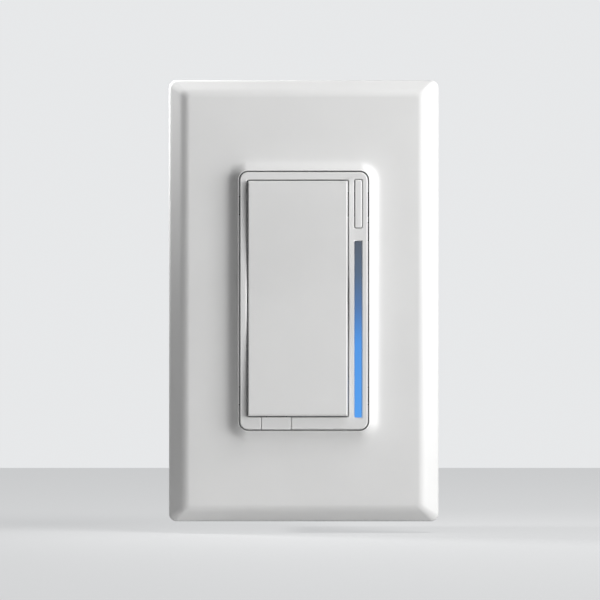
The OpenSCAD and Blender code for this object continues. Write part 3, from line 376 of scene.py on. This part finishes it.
# Materials. Noise scales are cells a metre, and the bump of each is a share of its depth.
PLASTIC_CLOUDS = 60
PLASTIC_ROUGH_SPREAD = 0.04
PLASTIC_BUMP = 0.5
METAL_CLOUDS = 90
METAL_DARK = 0.9
METAL_LIGHT = 1.06
METAL_ROUGH_SPREAD = 0.1
METAL_BUMP = 0.4
# The share of the noise below which the darker colour stays plain, and above which the lighter does
NOISE_LOW = 0.35
NOISE_HIGH = 0.65

# Colours of the light bar by their place on it, from its lower end (0) to its upper end (1)
BAR_COLOURS = (
    (0.0, (0.07, 0.36, 0.94)),
    (0.42, (0.06, 0.31, 0.84)),
    (0.62, (0.06, 0.17, 0.42)),
    (0.8, (0.07, 0.12, 0.2)),
    (1.0, (0.075, 0.085, 0.105)),
)
BAR_GLOW = 0.85
BAR_SURFACE = (0.02, 0.03, 0.045, 1)
BAR_ROUGHNESS = 0.32


def new_material(name):
    """An empty node material with its shader."""
    material = bpy.data.materials.new(name)
    material.use_nodes = True
    nodes = material.node_tree.nodes
    nodes.clear()
    output = nodes.new("ShaderNodeOutputMaterial")
    shader = nodes.new("ShaderNodeBsdfPrincipled")
    material.node_tree.links.new(shader.outputs[0], output.inputs["Surface"])
    return material, nodes, material.node_tree.links, shader


def object_noise(nodes, links, scale, stretch=(1, 1, 1), detail=3):
    """Noise in the object's own coordinates, stretched if asked."""
    place = nodes.new("ShaderNodeTexCoord")
    mapping = nodes.new("ShaderNodeMapping")
    mapping.inputs["Scale"].default_value = stretch
    noise = nodes.new("ShaderNodeTexNoise")
    noise.inputs["Scale"].default_value = scale
    noise.inputs["Detail"].default_value = detail
    links.new(place.outputs["Object"], mapping.inputs["Vector"])
    links.new(mapping.outputs["Vector"], noise.inputs["Vector"])
    return noise


def vary_colour(nodes, links, shader, noise, low, high):
    """Base colour between two colours, by noise."""
    ramp = nodes.new("ShaderNodeValToRGB")
    ramp.color_ramp.elements[0].position = NOISE_LOW
    ramp.color_ramp.elements[0].color = (*low, 1)
    ramp.color_ramp.elements[1].position = NOISE_HIGH
    ramp.color_ramp.elements[1].color = (*high, 1)
    links.new(noise.outputs["Fac"], ramp.inputs["Fac"])
    links.new(ramp.outputs["Color"], shader.inputs["Base Color"])


def vary_roughness(nodes, links, shader, noise, low, high):
    """Roughness between two values, by noise."""
    spread = nodes.new("ShaderNodeMapRange")
    spread.inputs["To Min"].default_value = low
    spread.inputs["To Max"].default_value = high
    links.new(noise.outputs["Fac"], spread.inputs["Value"])
    links.new(spread.outputs["Result"], shader.inputs["Roughness"])


def add_bump(nodes, links, shader, noise, strength, distance):
    """Bump from noise, with its depth in metres."""
    bump = nodes.new("ShaderNodeBump")
    bump.inputs["Strength"].default_value = strength
    bump.inputs["Distance"].default_value = distance
    links.new(noise.outputs["Fac"], bump.inputs["Height"])
    links.new(bump.outputs["Normal"], shader.inputs["Normal"])


def shade(colour, factor):
    """A colour made darker or lighter."""
    return tuple(min(c * factor, 1) for c in colour)


def plastic(name, colour, rough, grain=3500, depth=0.004 * MM, spread=0.012):
    """Moulded plastic: faint cloudiness, a fine grain and an even sheen."""
    material, nodes, links, shader = new_material(name)
    clouds = object_noise(nodes, links, PLASTIC_CLOUDS)
    vary_colour(nodes, links, shader, clouds, shade(colour, 1 - spread), shade(colour, 1 + spread))
    fine = object_noise(nodes, links, grain, detail=4)
    low = rough - PLASTIC_ROUGH_SPREAD
    high = rough + PLASTIC_ROUGH_SPREAD
    vary_roughness(nodes, links, shader, fine, low, high)
    add_bump(nodes, links, shader, fine, PLASTIC_BUMP, depth)
    return material


def metal(name, colour, rough, stretch=(1, 1, 1), grain=900, depth=0.004 * MM):
    """Metal with a grain that follows the way it was worked."""
    material, nodes, links, shader = new_material(name)
    clouds = object_noise(nodes, links, METAL_CLOUDS, stretch)
    vary_colour(nodes, links, shader, clouds, shade(colour, METAL_DARK), shade(colour, METAL_LIGHT))
    fine = object_noise(nodes, links, grain, stretch, detail=5)
    low = rough - METAL_ROUGH_SPREAD
    high = rough + METAL_ROUGH_SPREAD
    vary_roughness(nodes, links, shader, fine, low, high)
    add_bump(nodes, links, shader, fine, METAL_BUMP, depth)
    shader.inputs["Metallic"].default_value = 1
    return material


def lit_bar(name):
    """The light bar: slate grey where it is off, and blue where the lamps behind it are lit."""
    material, nodes, links, shader = new_material(name)
    low, high = box_of("light_bar")
    place = nodes.new("ShaderNodeTexCoord")
    split = nodes.new("ShaderNodeSeparateXYZ")
    height = nodes.new("ShaderNodeMapRange")
    height.inputs["From Min"].default_value = low.z
    height.inputs["From Max"].default_value = high.z
    ramp = nodes.new("ShaderNodeValToRGB")
    elements = ramp.color_ramp.elements
    while len(elements) < len(BAR_COLOURS):
        elements.new(0.5)
    for element, (place_on_bar, colour) in zip(elements, BAR_COLOURS):
        element.position = place_on_bar
        element.color = (*colour, 1)
    links.new(place.outputs["Object"], split.inputs["Vector"])
    links.new(split.outputs["Z"], height.inputs["Value"])
    links.new(height.outputs["Result"], ramp.inputs["Fac"])
    links.new(ramp.outputs["Color"], shader.inputs["Emission Color"])
    shader.inputs["Emission Strength"].default_value = BAR_GLOW
    shader.inputs["Base Color"].default_value = BAR_SURFACE
    shader.inputs["Roughness"].default_value = BAR_ROUGHNESS
    return material


WHITE = (0.8, 0.8, 0.795)
BLACK = (0.03, 0.03, 0.033)

MATERIALS = {
    "cover_plastic": plastic("cover_plastic", WHITE, 0.42),
    "bezel_plastic": plastic("bezel_plastic", WHITE, 0.3, depth=0.002 * MM),
    "paddle_plastic": plastic("paddle_plastic", WHITE, 0.34, depth=0.003 * MM),
    "button_plastic": plastic("button_plastic", WHITE, 0.3, depth=0.002 * MM),
    "base_plastic": plastic("base_plastic", (0.7, 0.7, 0.67), 0.5),
    "light_pipe": lit_bar("light_pipe"),
    "aluminium": metal("aluminium", (0.8, 0.81, 0.82), 0.38, stretch=(1, 1, 0.08)),
    "zinc_steel": metal("zinc_steel", (0.66, 0.68, 0.72), 0.32),
    "green_screw": metal("green_screw", (0.05, 0.42, 0.16), 0.35),
    "brass": metal("brass", (0.84, 0.62, 0.28), 0.3),
    "copper": metal("copper", (0.85, 0.46, 0.28), 0.34),
    "housing_plastic": plastic("housing_plastic", BLACK, 0.5, grain=2200, depth=0.012 * MM),
    "fibre": plastic("fibre", (0.3, 0.05, 0.03), 0.75, grain=1500, depth=0.02 * MM, spread=0.1),
    "circuit_board": plastic("circuit_board", (0.015, 0.14, 0.05), 0.35, spread=0.08),
    "component_black": plastic("component_black", (0.025, 0.025, 0.028), 0.45),
    "silicone": plastic("silicone", (0.16, 0.16, 0.18), 0.6),
    "white_nylon": plastic("white_nylon", (0.75, 0.75, 0.73), 0.5),
    "tinned_steel": metal("tinned_steel", (0.75, 0.76, 0.77), 0.3),
    "ferrite": plastic("ferrite", (0.045, 0.045, 0.05), 0.6, spread=0.1),
    "film_case": plastic("film_case", (0.55, 0.3, 0.02), 0.4),
    "can_sleeve": plastic("can_sleeve", (0.015, 0.025, 0.08), 0.3),
    "ceramic_blue": plastic("ceramic_blue", (0.02, 0.08, 0.35), 0.35),
    "heat_pad": plastic("heat_pad", (0.5, 0.56, 0.7), 0.7),
}


def dress(piece, slot):
    """Gives a piece the material of a slot in the record."""
    piece.data.materials.clear()
    piece.data.materials.append(MATERIALS[slot])


def repaint_nodes():
    """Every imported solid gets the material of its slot."""
    for entry in frame["record"]["subparts"]:
        node = frame["nodes"][entry["node"]]
        for slot in node.material_slots:
            slot.material = MATERIALS[entry["material_slot"]]
        if not node.material_slots:
            node.data.materials.append(MATERIALS[entry["material_slot"]])


# The cover


def bevel_height(share):
    """Height along the bevel, from its foot (0) to the flat face (1), with a soft crease at the top."""
    along = share / CREASE_SIDE
    if along <= 1 - CREASE_SOFT:
        return along
    if along >= 1 + CREASE_SOFT:
        return 1
    return along - (along - 1 + CREASE_SOFT) ** 2 / (4 * CREASE_SOFT)


def lip_bend(out):
    """A line that falls to zero at the foot of the lip's steep part, with a soft bend there."""
    return LIP_SOFT * math.log(1 + math.exp((LIP_KNEE - out) / LIP_SOFT))


def lip_rise(out):
    """Height of the lip over the flat face, at a distance from the opening."""
    steep = (LIP_HEIGHT - LIP_END - LIP_TAIL) * lip_bend(out) / lip_bend(0)
    return LIP_END + LIP_TAIL * (1 - out / LIP_WIDTH) ** 2 + steep


def outer_rings(half_w, half_h):
    """Rings from the wall up the straight edge, round the shoulder and up the bevel to the face."""
    rise = COVER_DEPTH - COVER_EDGE
    turn = math.pi / 2 - math.atan(rise / (CREASE_SIDE * BEVEL_SIDE))
    tangent = SHOULDER_RADIUS * math.tan(turn / 2)
    foot_radius = COVER_RADIUS - FOOT_SOFT
    rings = [
        ring(half_w - FOOT_SOFT, half_h - FOOT_SOFT, foot_radius, 0, NOTCH_DEPTH),
        ring(half_w, half_h, COVER_RADIUS, -FOOT_SOFT, NOTCH_DEPTH),
        ring(half_w, half_h, COVER_RADIUS, NOTCH_FRONT, NOTCH_DEPTH),
        ring(half_w, half_h, COVER_RADIUS, NOTCH_FRONT - NOTCH_TOP),
    ]
    profile = []
    for step in range(SHOULDER_STEPS + 1):
        angle = turn * step / SHOULDER_STEPS
        inset = SHOULDER_RADIUS * (1 - math.cos(angle))
        y = -COVER_EDGE + tangent - SHOULDER_RADIUS * math.sin(angle)
        profile.append((inset / BEVEL_SIDE, y))
    start = profile[-1][0] + BEVEL_START
    end = CREASE_SIDE * (1 + CREASE_SOFT) + BEVEL_OVERRUN
    for step in range(BEVEL_STEPS + 1):
        share = start + (end - start) * step / BEVEL_STEPS
        profile.append((share, -COVER_EDGE - bevel_height(share) * rise))
    for share, y in profile:
        radius = max(COVER_RADIUS * (1 - BEVEL_TIGHTENING * share), SMALL_RADIUS)
        rings.append(ring(half_w - share * BEVEL_SIDE, half_h - share * BEVEL_END, radius, y))
    return rings


def inner_rings(half_w, half_h):
    """Rings inside the cover, from the wall up to the back of the face."""
    edge = COVER_EDGE - COVER_WALL * INNER_EDGE_SHARE
    back = COVER_DEPTH - COVER_WALL
    side = BEVEL_SIDE + COVER_WALL * INNER_BEVEL_SHARE
    end = BEVEL_END + COVER_WALL * INNER_BEVEL_SHARE
    return [
        ring(half_w - COVER_WALL, half_h - COVER_WALL, SMALL_RADIUS, 0),
        ring(half_w - COVER_WALL, half_h - COVER_WALL, SMALL_RADIUS, -edge),
        ring(half_w - side, half_h - end, SMALL_RADIUS, -back),
    ]


def lip_rings(open_w, open_h, top):
    """Rings from the opening's edge, over the lip's rounded front and down to the face."""
    rings = [ring(open_w, open_h, OPENING_RADIUS, SKIRT_BACK)]
    for step in range(LIP_EDGE_STEPS + 1):
        angle = math.pi / 2 * step / LIP_EDGE_STEPS
        out = LIP_ROUND * (1 - math.cos(angle))
        y = top + LIP_ROUND * (1 - math.sin(angle))
        rings.append(ring(open_w + out, open_h + out, OPENING_RADIUS + out, y))
    for step in range(1, LIP_STEPS + 1):
        out = LIP_ROUND + (LIP_WIDTH - LIP_ROUND) * (step / LIP_STEPS) ** LIP_CROWDING
        y = max(-COVER_DEPTH - lip_rise(out), top)
        rings.append(ring(open_w + out, open_h + out, OPENING_RADIUS + out, y))
    return rings


def skirt_rings(open_w, open_h):
    """Rings round the outside of the skirt, from the back of the face to the skirt's end."""
    wide = open_w + SKIRT_WALL
    high = open_h + SKIRT_WALL
    radius = OPENING_RADIUS + SKIRT_WALL
    return [ring(wide, high, radius, y) for y in (COVER_WALL - COVER_DEPTH, SKIRT_BACK)]


def make_cover():
    """The clip-on cover as one closed loft: skirt, lip, face, bevel, edge, and back inside."""
    low, high = box_of("wall_plate_cover")
    open_w = BEZEL_HALF + OPENING_GAP
    open_h = box_of("bezel")[1].z + OPENING_GAP
    rings = lip_rings(open_w, open_h, low.y)
    rings += outer_rings(high.x, high.z)[::-1]
    rings += inner_rings(high.x, high.z)
    rings += skirt_rings(open_w, open_h)
    piece = loft("cover_shell", rings)
    add_hooks(piece, high.x, high.z)
    add_group(piece, "smooth", SMOOTH_BY_ANGLE)
    dress(piece, "cover_plastic")
    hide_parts("wall_plate_cover")
    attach(piece, "root")


def add_hooks(piece, half_w, half_h):
    """The four hooks on the back of the cover, joined to its mesh."""
    hook_x = half_w - HOOK_SIDE
    hook_z = half_h - HOOK_END
    root = -COVER_DEPTH + COVER_WALL / 2
    profile = (
        (hook_x - HOOK_WALL, root),
        (hook_x, root),
        (hook_x, HOOK_CATCH),
        (hook_x + HOOK_NOSE, HOOK_CATCH),
        (hook_x, HOOK_TIP),
        (hook_x - HOOK_WALL, HOOK_TIP),
    )
    work = bmesh.new()
    work.from_mesh(piece.data)
    for sx in (-1, 1):
        for sz in (-1, 1):
            ends = []
            for z in (sz * hook_z - HOOK_WIDTH / 2, sz * hook_z + HOOK_WIDTH / 2):
                ends.append([work.verts.new((sx * x, y, z)) for x, y in profile])
            made = [work.faces.new(ends[0]), work.faces.new(ends[1])]
            for k in range(len(profile)):
                j = (k + 1) % len(profile)
                made.append(work.faces.new((ends[0][k], ends[0][j], ends[1][j], ends[1][k])))
            bmesh.ops.recalc_face_normals(work, faces=made)
            for face in made:
                face.smooth = True
    work.to_mesh(piece.data)
    work.free()


# Threads


def add_threads(node, span, start, end):
    """Helical ridges on the shanks of a pair of screws, above and below the middle."""
    profile = ((-THREAD_FOOT, THREAD_SINK), (0, THREAD_RISE), (THREAD_FOOT, THREAD_SINK))
    count = int((end - start) / THREAD_PITCH * THREAD_STEPS)
    points = []
    faces = []
    for side in (-1, 1):
        first = len(points)
        for i in range(count + 1):
            turn = i / THREAD_STEPS
            angle = 2 * math.pi * turn
            fade = min(1, turn, (count - i) / THREAD_STEPS)
            for along, rise in profile:
                radius = THREAD_RADIUS + (rise * fade if rise > 0 else rise)
                y = start + THREAD_PITCH * (turn + along)
                points.append((radius * math.cos(angle), y, side * span / 2 + radius * math.sin(angle)))
        for i in range(count):
            a = first + 3 * i
            for k in range(3):
                j = (k + 1) % 3
                faces.append((a + k, a + j, a + 3 + j, a + 3 + k))
        last = first + 3 * count
        faces.append((first, first + 1, first + 2))
        faces.append((last, last + 1, last + 2))
    piece = add_piece(node + "_threads", points, faces)
    add_group(piece, "smooth", SMOOTH_BY_ANGLE)
    dress(piece, slot_of(node))
    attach(piece, "root")


# Setting


def add_area(name, place, aim, size, power, spread):
    """A soft square lamp that looks at a point, with its beam's angle in degrees."""
    lamp = bpy.data.lights.new(name, "AREA")
    lamp.shape = "SQUARE"
    lamp.size = size
    lamp.energy = power
    lamp.spread = math.radians(spread)
    holder = bpy.data.objects.new(name, lamp)
    holder.location = place
    holder.visible_camera = False
    holder.rotation_euler = (Vector(aim) - Vector(place)).to_track_quat("-Z", "Y").to_euler()
    bpy.context.scene.collection.objects.link(holder)


def add_camera():
    """A long lens straight in front of the plate."""
    camera = bpy.data.objects.new("camera", bpy.data.cameras.new("camera"))
    camera.data.lens = LENS
    camera.data.sensor_width = SENSOR
    camera.data.clip_start = CLIP_START
    camera.data.clip_end = CLIP_END
    camera.location = (VIEW_X, VIEW_FRONT - VIEW_WIDTH * LENS / SENSOR, VIEW_Z)
    camera.rotation_euler = (math.pi / 2, 0, 0)
    bpy.context.scene.collection.objects.link(camera)
    bpy.context.scene.camera = camera


def seen_rays(nodes, links):
    """An output that is 1 for what is seen directly, in a gloss or through glass, and 0 for bounces."""
    path = nodes.new("ShaderNodeLightPath")
    either = nodes.new("ShaderNodeMath")
    either.operation = "MAXIMUM"
    any_seen = nodes.new("ShaderNodeMath")
    any_seen.operation = "MAXIMUM"
    links.new(path.outputs["Is Camera Ray"], either.inputs[0])
    links.new(path.outputs["Is Glossy Ray"], either.inputs[1])
    links.new(either.outputs[0], any_seen.inputs[0])
    links.new(path.outputs["Is Transmission Ray"], any_seen.inputs[1])
    return any_seen.outputs[0]


def add_world():
    """An even pale world: one strength lights the object, and a pale tone shows behind it."""
    world = bpy.data.worlds.new("world")
    bpy.context.scene.world = world
    world.use_nodes = True
    nodes = world.node_tree.nodes
    links = world.node_tree.links
    nodes.clear()
    output = nodes.new("ShaderNodeOutputWorld")
    light = nodes.new("ShaderNodeBackground")
    light.inputs["Color"].default_value = (1, 1, 1, 1)
    light.inputs["Strength"].default_value = WORLD_LIGHT
    shown = nodes.new("ShaderNodeBackground")
    shown.inputs["Color"].default_value = WORLD_TONE
    shown.inputs["Strength"].default_value = 1
    mix = nodes.new("ShaderNodeMixShader")
    links.new(seen_rays(nodes, links), mix.inputs["Fac"])
    links.new(light.outputs[0], mix.inputs[1])
    links.new(shown.outputs[0], mix.inputs[2])
    links.new(mix.outputs[0], output.inputs["Surface"])


def floor_material():
    """The floor's finish: a grey that bounces little light, and a pale tone where it is seen."""
    material, nodes, links, shader = new_material("floor")
    seen = seen_rays(nodes, links)
    tone = nodes.new("ShaderNodeMix")
    tone.data_type = "RGBA"
    tone.inputs["A"].default_value = FLOOR_BOUNCE_TONE
    tone.inputs["B"].default_value = FLOOR_SEEN_TONE
    links.new(seen, tone.inputs["Factor"])
    links.new(tone.outputs["Result"], shader.inputs["Base Color"])
    shader.inputs["Roughness"].default_value = FLOOR_ROUGHNESS
    shader.inputs["Specular IOR Level"].default_value = FLOOR_GLOSS
    glow = nodes.new("ShaderNodeEmission")
    glow.inputs["Color"].default_value = FLOOR_GLOW
    share = nodes.new("ShaderNodeMath")
    share.operation = "MULTIPLY"
    share.inputs[1].default_value = FLOOR_GLOW_SHARE
    mix = nodes.new("ShaderNodeMixShader")
    links.new(seen, share.inputs[0])
    links.new(share.outputs[0], mix.inputs["Fac"])
    links.new(shader.outputs[0], mix.inputs[1])
    links.new(glow.outputs[0], mix.inputs[2])
    links.new(mix.outputs[0], nodes["Material Output"].inputs["Surface"])
    return material


def add_floor():
    """A plain pale floor just below the object."""
    z = cad_box[0].z - FLOOR_DROP
    corners = ((-1, -1), (1, -1), (1, 1), (-1, 1))
    points = [(x * FLOOR_HALF, y * FLOOR_HALF, z) for x, y in corners]
    floor = add_piece("floor", points, [(0, 1, 2, 3)])
    floor.data.materials.append(floor_material())


bpy.context.scene.view_settings.view_transform = "Standard"
add_camera()
add_world()
add_floor()
for lamp_name, settings in LAMPS.items():
    add_area(lamp_name, *settings)

repaint_nodes()
make_cover()
round_nodes()
add_threads("box_screws", BOX_SPAN, *BOX_THREAD)
add_threads("plate_screws", PLATE_SPAN, *PLATE_THREAD)
